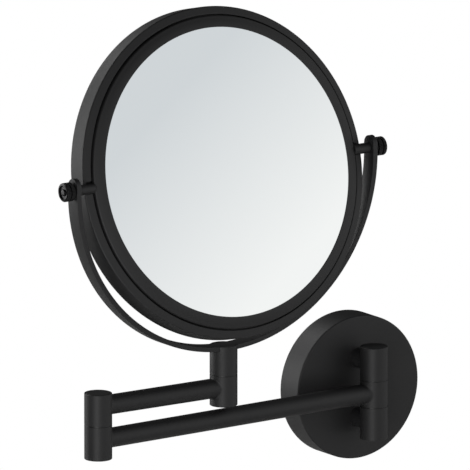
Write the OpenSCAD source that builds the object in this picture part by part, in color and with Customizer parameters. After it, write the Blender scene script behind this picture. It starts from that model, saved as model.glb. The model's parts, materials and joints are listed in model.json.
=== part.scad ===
// Extendable wall mirror: wall rosette, two swing arms, U-shaped yoke and a
// round tilting head. Millimetres, +Z up, the wall is the plane y = 0 and the
// object stands out of it towards -Y. The origin is the centre of the wall
// plate's back face.

/* [Wall rosette] */
// Outer radius of the rosette cover
rosette_r = 50; // [44:1:64]
// Depth of the rosette cover off the wall
rosette_depth = 21.4; // [18:0.2:30]
// Thickness of the cover's side wall
rosette_wall = 3.4; // [2.6:0.1:5]
// Thickness of the cover's front wall
rosette_face = 4; // [3:0.5:5]
// Chamfer on the cover's front edge
rosette_chamfer = 1.2; // [0.6:0.1:1.5]
// Thickness of the wall plate
plate_t = 2.5; // [2:0.5:3.5]
// Distance between the two wall screw holes
wall_screw_pitch = 50; // [40:1:60]
// Radius of a wall screw hole
wall_screw_r = 2.5; // [2:0.25:3]

/* [Hinge barrels] */
// Radius of every hinge barrel
barrel_r = 9.5; // [8.4:0.1:11.6]
// Length of the wall hinge barrel
wall_barrel_h = 65; // [54:1:80]
// Length of the long arm's knuckle in the wall barrel
root_knuckle_h = 18; // [16:0.5:22]
// Distance from the rosette's face to the wall hinge axis
hinge_reach = 18.9; // [15:0.1:24]
// Radius of the round stubs behind the wall barrel
stub_r = 7; // [5.8:0.1:8.2]
// Radius of the hinge pins
pin_r = 3.5; // [3:0.1:4.2]
// Wall of the nylon hinge bushes
bush_wall = 1.2; // [1:0.1:1.5]
// Thickness of a bush flange, which shows as the seam of a barrel
flange_t = 0.5; // [0.4:0.1:0.8]
// Chamfer on the ends of the barrels
barrel_chamfer = 0.5; // [0.2:0.1:0.8]
// Thickness of the end discs of the barrels
cap_t = 1.6; // [1.2:0.1:2.2]

/* [Arms] */
// Long arm, from the wall hinge axis to the elbow axis
long_arm_l = 234.8; // [190:0.2:280]
// Short arm, from the elbow axis to the post axis
short_arm_l = 102.8; // [84:0.2:130]
// Outer radius of both arm tubes
tube_r = 6.8; // [5.6:0.1:8.2]
// Wall of the arm tubes
tube_wall = 1.5; // [1:0.1:2]
// Height of the short arm above the long arm
arm_rise = 23.3; // [22:0.1:28]
// Gap between the long arm and what passes over it
arm_clear = 4; // [3:0.1:4.8]
// Length of the elbow barrel below the long arm's axis
elbow_under = 13.2; // [11.5:0.1:16]
// Length of the elbow barrel and the post knuckle above the short arm's axis
knuckle_over = 9.4; // [8.4:0.1:11.5]
// Rest angle of the long arm, forward from the wall
long_arm_angle = 2.6; // [0:0.1:90]
// Rest angle of the short arm, forward from the wall's right
short_arm_angle = 0; // [-90:1:90]

/* [Yoke] */
// Height of the swivel post above the short arm's knuckle
post_h = 20.3; // [17:0.1:25]
// Radial gap between the mirror head and the yoke band
yoke_gap = 6.5; // [5.5:0.1:8.3]
// Thickness of the yoke band
band_t = 3.5; // [2.9:0.1:4.2]
// Width of the yoke band
band_w = 11.9; // [10.5:0.1:14]
// Length of the band's round ends above the tilt axis
band_over = 8.5; // [7:0.1:10.2]
// Height of the tilt axis above the centre of the band's half ring and of the head
pivot_rise = 2.2; // [0:0.1:2.6]

/* [Mirror head] */
// Radius of the glass that shows
glass_view_r = 98.6; // [82:0.2:119]
// Thickness of the glass
glass_t = 4; // [3:0.5:4.8]
// Width of the raised bezel round the glass
bezel_w = 8.1; // [7.4:0.1:9.2]
// Width of the bezel's wall outside the glass
bezel_wall = 6.9; // [6.4:0.1:7]
// Width of the dark groove between bezel and drum
groove_w = 0.8; // [0.4:0.1:1]
// Width of the drum's front face
drum_face_w = 5.8; // [5.1:0.1:6.7]
// How far the drum's front face rises from its rim to the groove
drum_face_rise = 1.5; // [1:0.1:1.6]
// Wall of the drum
drum_wall = 2; // [1.6:0.1:2.4]
// Depth of the drum, front to back
drum_depth = 15.3; // [13.5:0.1:18]
// How far the drum's front rim lies behind the tilt axis
drum_back_set = 0.6; // [0.4:0.1:1.4]
// How far the bezel's inner lip lies in front of the tilt axis
lip_front = 4.6; // [4:0.1:5.2]
// How far the bezel's outer shoulder lies behind its inner lip
bezel_fall = 2.1; // [1.6:0.1:2.4]
// Bulge of the bezel's convex face
bezel_bulge = 0.3; // [0.1:0.1:0.6]
// Rest tilt of the head, looking up
head_tilt = 14.4; // [-30:0.1:30]

/* [Tilt pivots] */
// Radius of the studs between head and yoke
stud_r = 3.6; // [3:0.1:4.2]
// Radius of the studs' journals in the yoke bushes
journal_r = 2.6; // [2.2:0.1:2.9]
// Radius of the knob heads
knob_r = 6.5; // [5.5:0.1:7.8]
// Length of the knob heads
knob_head_l = 6.6; // [5.6:0.1:7.8]
// Radius of the knob necks
knob_neck_r = 4.6; // [4.2:0.1:5.4]
// Length of the knob necks
knob_neck_l = 1.2; // [1:0.1:1.6]

/* [Hidden] */
$fn = 96;
EPS = 0.01;                  // overlap that keeps cuts clean

// Clearances
running_gap = 0.05;          // radial, shaft in a bush
seat_gap = 0.03;             // radial, piece seated in a hole
loose_gap = 0.3;             // radial, piece that only has to go in
end_play = 0.05;             // axial, flange against the next knuckle
thread_gap = 0.04;           // radial, screw in its thread

// Fasteners
stub_screw_r = 2.5;          // M5
stub_screw_head_r = 4.2;
stub_screw_head_h = 3;
stub_screw_grip = 4;         // length in the knuckle's wall
m5_hex_r = 2.3;              // hexagon sockets, across the corners
m4_hex_r = 1.3;
m3_hex_r = 1.1;
grub_r = 2;                  // M4
yoke_screw_r = 2;            // M4
yoke_screw_head_r = 4;
yoke_screw_grip = 5.5;       // length in the swivel post
shoulder_thread_r = 2.5;
shoulder_thread_l = 7;
shoulder_head_r = 5.4;
shoulder_head_h = 3;
nut_r = 5.4;                 // across the corners
nut_h = 4;
nut_thread_r = 2.5;
core_screw_r = 1.2;
core_screw_n = 6;
core_screw_grip = 1.5;       // length in the bezel ring
core_head_r = 2.2;
core_head_h = 1.6;
standoff_r = 3.5;
cover_screw_r = 1.5;         // M3
cover_screw_n = 3;
cover_screw_grip = 5;        // length in the standoffs
cover_head_r = 2.8;
cover_head_h = 1.5;
socket_h = 1.8;              // depth of the sockets in the M5 heads
small_socket_h = 1.2;        // depth of the M4 and grub sockets
flat_socket_h = 0.9;         // depth of the M3 sockets

// Edges
fine_edge = 0.3;             // chamfer on discs and studs
edge = 0.4;                  // chamfer on pins and rims

// Barrels
bush_r = pin_r + running_gap + bush_wall;
flange_r = barrel_r - 0.35;
seam = flange_t + end_play;                  // opening between two knuckles
bush_space = 2;                              // between the two bushes of a knuckle
cap_r = barrel_r - 1.3;
pocket_r = barrel_r - 2.6;                   // hollow for a nut or a screw head
pocket_flange_r = pocket_r - loose_gap;
cap_floor = 1;                               // between an end disc and the nut or head
root_half = root_knuckle_h / 2;
wall_half = wall_barrel_h / 2;
stub_z = (root_half + wall_half) / 2;
hinge_y = -(rosette_depth + hinge_reach);

// Heights
elbow_seam_z = tube_r + arm_clear;           // bottom of what passes over the long arm
elbow_top_z = arm_rise + knuckle_over;
post_top_z = elbow_top_z + post_h;

// Head, as depths along its axis from the tilt axis
drum_edge_round = 1;
shoulder_round = 1.4;                        // bezel's outer shoulder
bezel_out_r = glass_view_r + bezel_w;
drum_in_r = bezel_out_r + groove_w;
drum_r = drum_in_r + drum_face_w;
drum_front = -drum_back_set;
drum_back = drum_front - drum_depth;
bezel_in_r = bezel_out_r - bezel_wall;
shoulder_r = bezel_out_r - shoulder_round;   // where the shoulder meets the face
shoulder_z = lip_front - bezel_fall;
lip_t = 0.5;
glass_front = lip_front - lip_t;
glass_back = glass_front - glass_t;
bezel_flange_t = 2;
bezel_flange_front = drum_front - drum_wall;
bezel_back = bezel_flange_front - bezel_flange_t;
core_t = 1;
core_back = bezel_back - core_t;
cover_t = 1;
cover_front = drum_back + cover_t;
cover_screw_ring = 0.62 * drum_in_r;
core_screw_ring = (bezel_in_r + drum_r - drum_wall) / 2;

// Yoke
yoke_ri = drum_r + yoke_gap;
yoke_ro = yoke_ri + band_t;
ring_z = post_top_z + yoke_ri;               // centre of the half ring
tilt_z = ring_z + pivot_rise;
yoke_bush_wall = 1.2;
yoke_bush_r = journal_r + running_gap + yoke_bush_wall;
bush_proud = 0.2;                            // bush past each face of the band
stud_tip_r = 1.6;
stud_tip_l = 3;
stud_sink = 0.15;                            // depth of the shoulder's flat seat
stud_end_gap = 0.1;                          // stud's shoulders clear of the bush
knob_l = knob_neck_l + knob_head_l;
knob_gap = 0.15;                             // knob clear of the bush
knob_floor = 1.5;                            // knob's front left above the stud
knob_back_round = 0.8;
knob_front_round = 1.2;
dimple_r = 2.2;
dimple_h = 0.8;

// Wall plate
plate_rim_r = rosette_r - rosette_wall - loose_gap;
plate_rim_t = 2.5;
cavity_depth = rosette_depth - rosette_face;

long_arm_dir = 180 + long_arm_angle;

// ---- places -------------------------------------------------------------

// The wall hinge axis, at the long arm's height.
module at_wall_hinge() translate([0, hinge_y, 0]) children();

// The long arm's frame: +X runs along the arm to the elbow.
module along_long_arm() at_wall_hinge() rotate([0, 0, long_arm_dir]) children();

// The elbow axis, unturned.
module at_elbow()
  translate([long_arm_l * cos(long_arm_dir),
             hinge_y + long_arm_l * sin(long_arm_dir), 0])
    children();

// The short arm's frame: +X runs along the arm to the post.
module along_short_arm() at_elbow() rotate([0, 0, short_arm_angle]) children();

// The post axis, unturned.
module at_post()
  translate([short_arm_l * cos(short_arm_angle),
             short_arm_l * sin(short_arm_angle), 0])
    at_elbow() children();

// The head's frame: the origin is the middle of the head, below the tilt axis,
// and +Z is the way the glass looks.
module at_head()
  at_post() translate([0, 0, tilt_z]) rotate([90 - head_tilt, 0, 0])
    translate([0, -pivot_rise, 0]) children();

// A tilt pivot, right (side 1) or left (side -1): +Z runs outwards along the tilt axis.
module at_pivot(side)
  at_post() translate([0, 0, tilt_z]) rotate([0, 90 * side, 0]) children();

// ---- shapes that repeat -------------------------------------------------

// A tube from z0 to z1 about Z.
module sleeve(r_out, r_in, z0, z1)
  difference() {
    translate([0, 0, z0]) cylinder(r = r_out, h = z1 - z0);
    translate([0, 0, z0 - 1]) cylinder(r = r_in, h = z1 - z0 + 2);
  }

// A round bar from z0 to z1 about Z, with a chamfer at either end.
module bar(r, z0, z1, c0 = 0, c1 = 0)
  rotate_extrude()
    polygon([[0, z0], [r - c0, z0], [r, z0 + c0], [r, z1 - c1], [r - c1, z1], [0, z1]]);

// A hole about Z that runs past z0 and z1.
module hole(r, z0, z1) translate([0, 0, z0]) cylinder(r = r, h = z1 - z0);

// A hexagon socket about Z.
module hex_hole(r, z0, z1) translate([0, 0, z0]) cylinder(r = r, h = z1 - z0, $fn = 6);

// Two flanged bushes about Z, in a knuckle's bore from z0 to z1.
module bush_pair(z0, z1, upper_flange_r, lower_flange_r)
  difference() {
    union() {
      hole(bush_r, z0 - EPS, (z0 + z1 - bush_space) / 2);
      hole(bush_r, (z0 + z1 + bush_space) / 2, z1 + EPS);
      hole(lower_flange_r, z0 - flange_t, z0);
      hole(upper_flange_r, z1, z1 + flange_t);
    }
    hole(pin_r + running_gap, z0 - 2, z1 + 2);
  }

// A flat end disc with a chamfered rim, between z0 and z1.
module end_disc(z0, z1, chamfer_top)
  bar(cap_r, z0, z1, chamfer_top ? 0 : fine_edge, chamfer_top ? fine_edge : 0);

// A fixed knuckle of the wall hinge, above (side 1) or below (side -1) the long arm.
module wall_knuckle(side)
  at_wall_hinge() difference() {
    mirror([0, 0, side > 0 ? 0 : 1])
      bar(barrel_r, root_half + seam, wall_half, 0, barrel_chamfer);
    hole(pin_r + seat_gap, -wall_half, wall_half);
    mirror([0, 0, side > 0 ? 0 : 1]) hole(cap_r + seat_gap, wall_half - cap_t, wall_half + 1);
    translate([0, 0, side * stub_z]) rotate([-90, 0, 0])
      hole(stub_screw_r + thread_gap, 0, barrel_r + 1);
  }

// A round stub between the rosette and a knuckle, coped to the barrel.
module hinge_stub(side)
  difference() {
    translate([0, -rosette_depth, side * stub_z]) rotate([90, 0, 0])
      cylinder(r = stub_r, h = hinge_reach);
    at_wall_hinge() hole(barrel_r, -wall_half, wall_half);
    translate([0, 0, side * stub_z]) rotate([90, 0, 0])
      hole(stub_screw_r + loose_gap, 0, -hinge_y);
  }

// An arm tube along +X from one barrel to the next, coped to both.
module arm_tube(len)
  difference() {
    rotate([0, 90, 0]) sleeve(tube_r, tube_r - tube_wall, 0, len);
    hole(barrel_r, -2 * tube_r, 2 * tube_r);
    translate([len, 0, 0]) hole(barrel_r, -2 * tube_r, 2 * tube_r);
  }

// The half-round seats for the two studs, along the tilt axis.
module stud_seats(r)
  translate([0, pivot_rise, 0]) rotate([0, 90, 0]) hole(r, -2 * drum_r, 2 * drum_r);

// A ring of n places at radius r about Z.
module ring_of(n, r)
  for (i = [0 : n - 1]) rotate([0, 0, 360 * i / n + 30]) translate([r, 0, 0]) children();

// ---- wall ---------------------------------------------------------------

// Steel dish: a disc on the wall and a rim that the cover seats on.
module wall_plate() {
  color("silver") rotate([90, 0, 0]) difference() {
    cylinder(r = plate_rim_r, h = cavity_depth);
    hole(plate_rim_r - plate_rim_t, plate_t, cavity_depth + 1);
    for (s = [-1, 1])
      translate([s * wall_screw_pitch / 2, 0, 0]) hole(wall_screw_r, -1, plate_t + 1);
  }
}

module rosette_cover() {
  color("#2b2b2c") difference() {
    rotate([90, 0, 0]) bar(rosette_r, 0, rosette_depth, 0, rosette_chamfer);
    rotate([90, 0, 0]) hole(rosette_r - rosette_wall, -1, cavity_depth);
    for (s = [-1, 1])
      translate([0, 0, s * stub_z]) rotate([90, 0, 0])
        hole(stub_screw_r + loose_gap, cavity_depth - 1, rosette_depth + 1);
    translate([0, -rosette_depth / 2, 0]) rotate([180, 0, 0])
      hole(grub_r + thread_gap, rosette_r - 2 * rosette_wall, rosette_r + 1);
  }
}

// Set screw under the cover: it bears on the plate's rim.
module rosette_grub_screw() {
  color("dimgray") translate([0, -rosette_depth / 2, 0]) rotate([180, 0, 0]) difference() {
    bar(grub_r, plate_rim_r, rosette_r - edge, edge, 0);
    hex_hole(m3_hex_r, rosette_r - edge - small_socket_h, rosette_r);
  }
}

module hinge_stub_upper() color("#2b2b2c") hinge_stub(1);
module hinge_stub_lower() color("#2b2b2c") hinge_stub(-1);

// Cap screws from inside the cover into the fixed knuckles.
module stub_screws() {
  color("silver") for (s = [-1, 1])
    translate([0, 0, s * stub_z]) rotate([90, 0, 0]) difference() {
      union() {
        hole(stub_screw_r, cavity_depth - EPS, -hinge_y - barrel_r + stub_screw_grip);
        hole(stub_screw_head_r, cavity_depth - stub_screw_head_h, cavity_depth);
      }
      translate([0, 0, cavity_depth - stub_screw_head_h]) hex_hole(m5_hex_r, -1, socket_h);
    }
}

module wall_knuckle_upper() color("#2b2b2c") wall_knuckle(1);
module wall_knuckle_lower() color("#2b2b2c") wall_knuckle(-1);

module wall_hinge_pin() {
  color("silver") at_wall_hinge() bar(pin_r, cap_t - wall_half, wall_half - cap_t, edge, edge);
}

module wall_hinge_caps() {
  color("#222223") at_wall_hinge() {
    end_disc(wall_half - cap_t, wall_half, true);
    end_disc(-wall_half, cap_t - wall_half, false);
  }
}

// ---- long arm -----------------------------------------------------------

module long_arm_root_knuckle() {
  color("#2b2b2c") at_wall_hinge() sleeve(barrel_r, bush_r + seat_gap, -root_half, root_half);
}

module wall_hinge_bushes() {
  color("ivory") at_wall_hinge() bush_pair(-root_half, root_half, flange_r, flange_r);
}

module long_arm_tube() color("#2b2b2c") along_long_arm() arm_tube(long_arm_l);

elbow_pocket_z = elbow_top_z - cap_t - nut_h - cap_floor;   // under the nut

module elbow_lower_knuckle() {
  color("#2b2b2c") at_elbow() difference() {
    bar(barrel_r, -elbow_under, elbow_seam_z - seam, barrel_chamfer, 0);
    hole(pin_r + seat_gap, -elbow_under - 1, elbow_seam_z + 1);
    hole(cap_r + seat_gap, -elbow_under - 1, cap_t - elbow_under);
  }
}

// Pin fixed in the lower knuckle, with a thread for the nut at its top.
module elbow_pin() {
  color("silver") at_elbow() {
    bar(pin_r, cap_t - elbow_under, elbow_pocket_z, edge, 0);
    hole(nut_thread_r, elbow_pocket_z - EPS, elbow_pocket_z + nut_h + 0.5);
  }
}

module elbow_nut() {
  color("silver") at_elbow() difference() {
    translate([0, 0, elbow_pocket_z]) cylinder(r = nut_r, h = nut_h, $fn = 6);
    hole(nut_thread_r + thread_gap, elbow_pocket_z - 1, elbow_top_z);
  }
}

module elbow_bottom_cap() {
  color("#222223") at_elbow() end_disc(-elbow_under, cap_t - elbow_under, false);
}

// ---- short arm ----------------------------------------------------------

// Floor of the elbow's upper knuckle pocket, one bush flange under the nut.
elbow_web_z = elbow_pocket_z - seam;

module elbow_upper_knuckle() {
  color("#2b2b2c") at_elbow() difference() {
    bar(barrel_r, elbow_seam_z, elbow_top_z, 0, barrel_chamfer);
    hole(bush_r + seat_gap, elbow_seam_z - 1, elbow_top_z);
    hole(pocket_r, elbow_web_z, elbow_top_z);
    hole(cap_r + seat_gap, elbow_top_z - cap_t, elbow_top_z + 1);
  }
}

module elbow_bushes() {
  color("ivory") at_elbow()
    bush_pair(elbow_seam_z, elbow_web_z, pocket_flange_r, flange_r);
}

module short_arm_tube() {
  color("#2b2b2c") along_short_arm() translate([0, 0, arm_rise]) arm_tube(short_arm_l);
}

// Ceiling of the pocket under the post, where the shoulder screw's head lies.
post_web_z = elbow_seam_z + cap_t + cap_floor + shoulder_head_h + seam;

module post_lower_knuckle() {
  color("#2b2b2c") at_post() difference() {
    bar(barrel_r, elbow_seam_z, elbow_top_z - seam, barrel_chamfer, 0);
    hole(bush_r + seat_gap, elbow_seam_z, elbow_top_z);
    hole(pocket_r, elbow_seam_z + 1, post_web_z);
    hole(cap_r + seat_gap, elbow_seam_z - 1, elbow_seam_z + cap_t);
  }
}

module post_bushes() {
  color("ivory") at_post()
    bush_pair(post_web_z, elbow_top_z - seam, flange_r, pocket_flange_r);
}

module elbow_top_cap() {
  color("#222223") at_elbow() end_disc(elbow_top_z - cap_t, elbow_top_z, true);
}

module post_bottom_cap() {
  color("#222223") at_post() end_disc(elbow_seam_z, elbow_seam_z + cap_t, false);
}

// ---- yoke ---------------------------------------------------------------

// The band's outline seen along Y: a half ring and two straight tips.
module band_outline(r_out, r_in) {
  difference() {
    circle(r = r_out, $fn = 180);
    circle(r = r_in, $fn = 180);
    translate([-2 * r_out, 0]) square([4 * r_out, 2 * r_out]);
  }
}

// A flat tip of the band above its half ring, with a round end.
module band_tip(side)
  translate([side > 0 ? yoke_ri : -yoke_ro, 0, 0]) rotate([90, 0, 90])
    linear_extrude(band_t) {
      translate([-band_w / 2, -EPS]) square([band_w, band_tip_h + EPS]);
      translate([0, band_tip_h]) intersection() {
        circle(d = band_w);
        translate([-band_w / 2, -EPS]) square(band_w);
      }
    }

band_tip_h = pivot_rise + band_over - band_w / 2;    // straight part of a tip

module yoke_band() {
  color("#2f2f30") at_post() difference() {
    translate([0, 0, ring_z]) {
      rotate([90, 0, 0]) translate([0, 0, -band_w / 2])
        linear_extrude(band_w) band_outline(yoke_ro, yoke_ri);
      band_tip(1);
      band_tip(-1);
    }
    translate([0, 0, tilt_z]) rotate([0, 90, 0])
      hole(yoke_bush_r + seat_gap, -2 * yoke_ro, 2 * yoke_ro);
    hole(yoke_screw_r + thread_gap, post_top_z - 2 * band_t, post_top_z + 1);
    translate([0, 0, post_top_z - yoke_screw_head_r + yoke_screw_r])
      cylinder(r1 = yoke_screw_r + thread_gap, r2 = yoke_screw_head_r + thread_gap,
               h = yoke_screw_head_r - yoke_screw_r);
    hole(yoke_screw_head_r + thread_gap, post_top_z - EPS, post_top_z + 1);
  }
}

// Post top with a saddle slot that the band lies in, flush with the band.
module swivel_post() {
  color("#2b2b2c") at_post() difference() {
    bar(barrel_r, elbow_top_z, post_top_z);
    translate([0, band_w / 2 + seat_gap, ring_z]) rotate([90, 0, 0])
      cylinder(r = yoke_ro, h = band_w + 2 * seat_gap, $fn = 180);
    hole(shoulder_thread_r + thread_gap, elbow_top_z - 1, elbow_top_z + shoulder_thread_l + 0.5);
    hole(yoke_screw_r + thread_gap, post_top_z - band_t - yoke_screw_grip - 0.5, post_top_z + 1);
  }
}

// Shoulder screw, the swivel's shaft: its head hangs under the lower bush,
// its thread goes up into the swivel post.
module post_shoulder_screw() {
  color("silver") at_post() difference() {
    union() {
      hole(shoulder_head_r, post_web_z - seam - shoulder_head_h, post_web_z - seam);
      hole(pin_r, post_web_z - seam - EPS, elbow_top_z);
      hole(shoulder_thread_r, elbow_top_z - EPS, elbow_top_z + shoulder_thread_l);
    }
    translate([0, 0, post_web_z - seam - shoulder_head_h]) hex_hole(m5_hex_r, -1, socket_h);
  }
}

// Countersunk screw through the band into the post.
module yoke_screw() {
  color("#3a3a3b") at_post() difference() {
    union() {
      hole(yoke_screw_r, post_top_z - band_t - yoke_screw_grip, post_top_z - EPS);
      translate([0, 0, post_top_z - yoke_screw_head_r + yoke_screw_r])
        cylinder(r1 = yoke_screw_r, r2 = yoke_screw_head_r,
                 h = yoke_screw_head_r - yoke_screw_r);
    }
    hex_hole(m4_hex_r, post_top_z - small_socket_h, post_top_z + 1);
  }
}

module yoke_bushes() {
  color("black") for (side = [-1, 1]) at_pivot(side)
    sleeve(yoke_bush_r, journal_r + running_gap, yoke_ri - bush_proud, yoke_ro + bush_proud);
}

// ---- mirror head --------------------------------------------------------

// Drum ring: a side wall with a wide front face that rises towards the
// groove, notched for the studs.
module head_drum() {
  color("#2b2b2c") at_head() difference() {
    rotate_extrude($fn = 180) polygon(concat(
      [[drum_in_r, drum_front + drum_face_rise], [drum_in_r, drum_back],
       [drum_r - edge, drum_back], [drum_r, drum_back + edge]],
      [for (a = [0 : 12 : 72])
        [drum_r - drum_edge_round * (1 - cos(a)),
         drum_front - drum_edge_round * (1 - sin(a))]]));
    hole(drum_r - drum_wall, drum_back - 1, drum_front - drum_wall, $fn = 180);
    stud_seats(stud_r + loose_gap);
  }
}

// Ring round the glass: a round shoulder and a convex face, a lip over the
// glass, a wall that the studs screw into and a flange behind the drum's face.
module bezel_ring() {
  color("#2f2f30") at_head() difference() {
    rotate_extrude($fn = 180) polygon(concat(
      [[bezel_in_r, bezel_back], [drum_r - drum_wall - seat_gap, bezel_back],
       [drum_r - drum_wall - seat_gap, bezel_flange_front],
       [bezel_out_r, bezel_flange_front]],
      bezel_face_points(),
      [[glass_view_r, glass_front], [bezel_in_r, glass_front]]));
    stud_seats(stud_tip_r + thread_gap);
    stud_flats();
    ring_of(core_screw_n, core_screw_ring)
      hole(core_screw_r + thread_gap, bezel_back - 1, bezel_back + core_screw_grip + 0.1);
  }
}

// The bezel's front from its outer wall to the lip: an arc over the
// shoulder, then a shallow parabola.
function bezel_face_points() =
  concat(
    [for (a = [0 : 11 : 66])
      [shoulder_r + shoulder_round * cos(a), shoulder_z - shoulder_round * (1 - sin(a))]],
    [for (t = [0.1 : 0.1 : 1])
      [shoulder_r + (glass_view_r - shoulder_r) * t,
       shoulder_z + bezel_fall * t + 4 * bezel_bulge * t * (1 - t)]]);

// Flat seats on the bezel's wall for the studs' shoulders.
module stud_flats()
  for (side = [-1, 1]) translate([0, pivot_rise, 0]) rotate([0, 90 * side, 0])
    hole(stud_r + loose_gap, bezel_out_r - stud_sink, 2 * drum_r);

module mirror_glass() {
  color("#d5dadb") at_head()
    bar(bezel_in_r - loose_gap, glass_back, glass_front, fine_edge, fine_edge, $fn = 180);
}

module foam_pad() {
  color("dimgray") at_head()
    bar(bezel_in_r - 3 * loose_gap, bezel_back, glass_back, $fn = 180);
}

// Steel disc that closes the bezel ring behind the foam.
module core_plate() {
  color("silver") at_head() difference() {
    bar(drum_r - drum_wall - loose_gap, core_back, bezel_back, $fn = 180);
    ring_of(core_screw_n, core_screw_ring)
      hole(core_screw_r + loose_gap, core_back - 1, bezel_back + 1);
  }
}

module core_screws() {
  color("silver") at_head() ring_of(core_screw_n, core_screw_ring) {
    hole(core_screw_r, core_back - EPS, bezel_back + core_screw_grip);
    bar(core_head_r, core_back - core_head_h, core_back, edge, 0);
  }
}

module cover_standoffs() {
  color("silver") at_head() ring_of(cover_screw_n, cover_screw_ring)
    difference() {
      hole(standoff_r, cover_front, core_back);
      hole(cover_screw_r + thread_gap, cover_front - 1, cover_front + cover_screw_grip + 1);
    }
}

module back_cover() {
  color("#2b2b2c") at_head() difference() {
    bar(drum_r - drum_wall - loose_gap, drum_back, cover_front, edge, 0, $fn = 180);
    ring_of(cover_screw_n, cover_screw_ring)
      hole(cover_screw_r + loose_gap, drum_back - 1, cover_front + 1);
  }
}

module cover_screws() {
  color("#3a3a3b") at_head() ring_of(cover_screw_n, cover_screw_ring) difference() {
    union() {
      hole(cover_screw_r, drum_back - EPS, cover_front + cover_screw_grip);
      bar(cover_head_r, drum_back - cover_head_h, drum_back, edge, 0);
    }
    translate([0, 0, drum_back - cover_head_h]) hex_hole(m3_hex_r, -1, flat_socket_h);
  }
}

// Shouldered stud: a threaded tip in the bezel, a shoulder up to the yoke's
// bush, a journal through the bush and a thread for the knob.
module pivot_stud(side)
  at_pivot(side) {
    hole(stud_tip_r, bezel_out_r - stud_tip_l, bezel_out_r);
    bar(stud_r, bezel_out_r - stud_sink, yoke_ri - bush_proud - stud_end_gap, 0, fine_edge);
    hole(journal_r, yoke_ri - 1, yoke_ro + bush_proud + stud_end_gap);
    hole(stud_tip_r, yoke_ro, yoke_ro + bush_proud + knob_l - knob_floor);
  }

module pivot_stud_left() color("#2b2b2c") pivot_stud(-1);
module pivot_stud_right() color("#2b2b2c") pivot_stud(1);

// Turned clamp knob: a neck, a wide head with rounded shoulders and a
// dimple in its outer face.
module knob(side)
  at_pivot(side) translate([0, 0, yoke_ro + bush_proud + knob_gap]) difference() {
    rotate_extrude() polygon([
      [0, 0], [knob_neck_r - fine_edge, 0], [knob_neck_r, fine_edge],
      [knob_neck_r, knob_neck_l], [knob_r - knob_back_round, knob_neck_l],
      [knob_r, knob_neck_l + knob_back_round], [knob_r, knob_l - knob_front_round],
      [knob_r - knob_front_round, knob_l], [dimple_r, knob_l],
      [dimple_r - dimple_h, knob_l - dimple_h], [0, knob_l - dimple_h]]);
    hole(stud_tip_r + running_gap, -1, knob_l - knob_floor);
  }

module knob_left() color("#262627") knob(-1);
module knob_right() color("#262627") knob(1);

wall_plate();
rosette_cover();
rosette_grub_screw();
hinge_stub_upper();
hinge_stub_lower();
stub_screws();
wall_knuckle_upper();
wall_knuckle_lower();
wall_hinge_pin();
wall_hinge_caps();
long_arm_root_knuckle();
long_arm_tube();
elbow_lower_knuckle();
wall_hinge_bushes();
elbow_pin();
elbow_nut();
elbow_bottom_cap();
elbow_upper_knuckle();
short_arm_tube();
post_lower_knuckle();
elbow_bushes();
post_bushes();
elbow_top_cap();
post_bottom_cap();
swivel_post();
post_shoulder_screw();
yoke_band();
yoke_screw();
yoke_bushes();
head_drum();
bezel_ring();
mirror_glass();
foam_pad();
core_plate();
core_screws();
cover_standoffs();
back_cover();
cover_screws();
pivot_stud_left();
pivot_stud_right();
knob_left();
knob_right();
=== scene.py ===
"""Extendable wall mirror in matte black powder coat: the visual model, in metres."""
import json
import math

import bpy
import numpy as np
from mathutils import Matrix, Vector

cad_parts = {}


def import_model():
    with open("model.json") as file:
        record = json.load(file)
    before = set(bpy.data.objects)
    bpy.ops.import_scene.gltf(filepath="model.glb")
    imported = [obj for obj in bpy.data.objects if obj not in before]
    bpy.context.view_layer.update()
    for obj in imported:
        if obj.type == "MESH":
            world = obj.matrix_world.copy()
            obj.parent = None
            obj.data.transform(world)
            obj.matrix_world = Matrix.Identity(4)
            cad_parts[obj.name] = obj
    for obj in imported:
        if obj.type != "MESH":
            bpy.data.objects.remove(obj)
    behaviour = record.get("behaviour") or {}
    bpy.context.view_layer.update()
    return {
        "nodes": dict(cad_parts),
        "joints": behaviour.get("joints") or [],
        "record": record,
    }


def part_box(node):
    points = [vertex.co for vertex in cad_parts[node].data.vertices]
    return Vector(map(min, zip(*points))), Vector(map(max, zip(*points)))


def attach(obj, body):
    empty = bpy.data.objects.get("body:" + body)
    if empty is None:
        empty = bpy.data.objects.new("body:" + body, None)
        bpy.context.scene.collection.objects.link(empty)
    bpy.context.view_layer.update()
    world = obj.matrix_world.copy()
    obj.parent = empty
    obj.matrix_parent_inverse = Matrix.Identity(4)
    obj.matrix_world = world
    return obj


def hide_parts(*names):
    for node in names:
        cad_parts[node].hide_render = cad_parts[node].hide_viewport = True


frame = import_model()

MM = 0.001
TAU = 2 * math.pi

# ---- sizes read from the frame ------------------------------------------

joint = {j["name"]: np.array(j["pos_m"]) for j in frame["joints"]}
WALL_AXIS, ELBOW, POST, TILT = (
    joint[name] for name in ("wall_swing", "elbow_swing", "post_swivel", "head_tilt"))


def low(node):
    """Lowest corner of a CAD node."""
    return np.array(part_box(node)[0])


def high(node):
    """Highest corner of a CAD node."""
    return np.array(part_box(node)[1])


def span(node):
    """A CAD node's size along x, y and z."""
    return high(node) - low(node)


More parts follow.
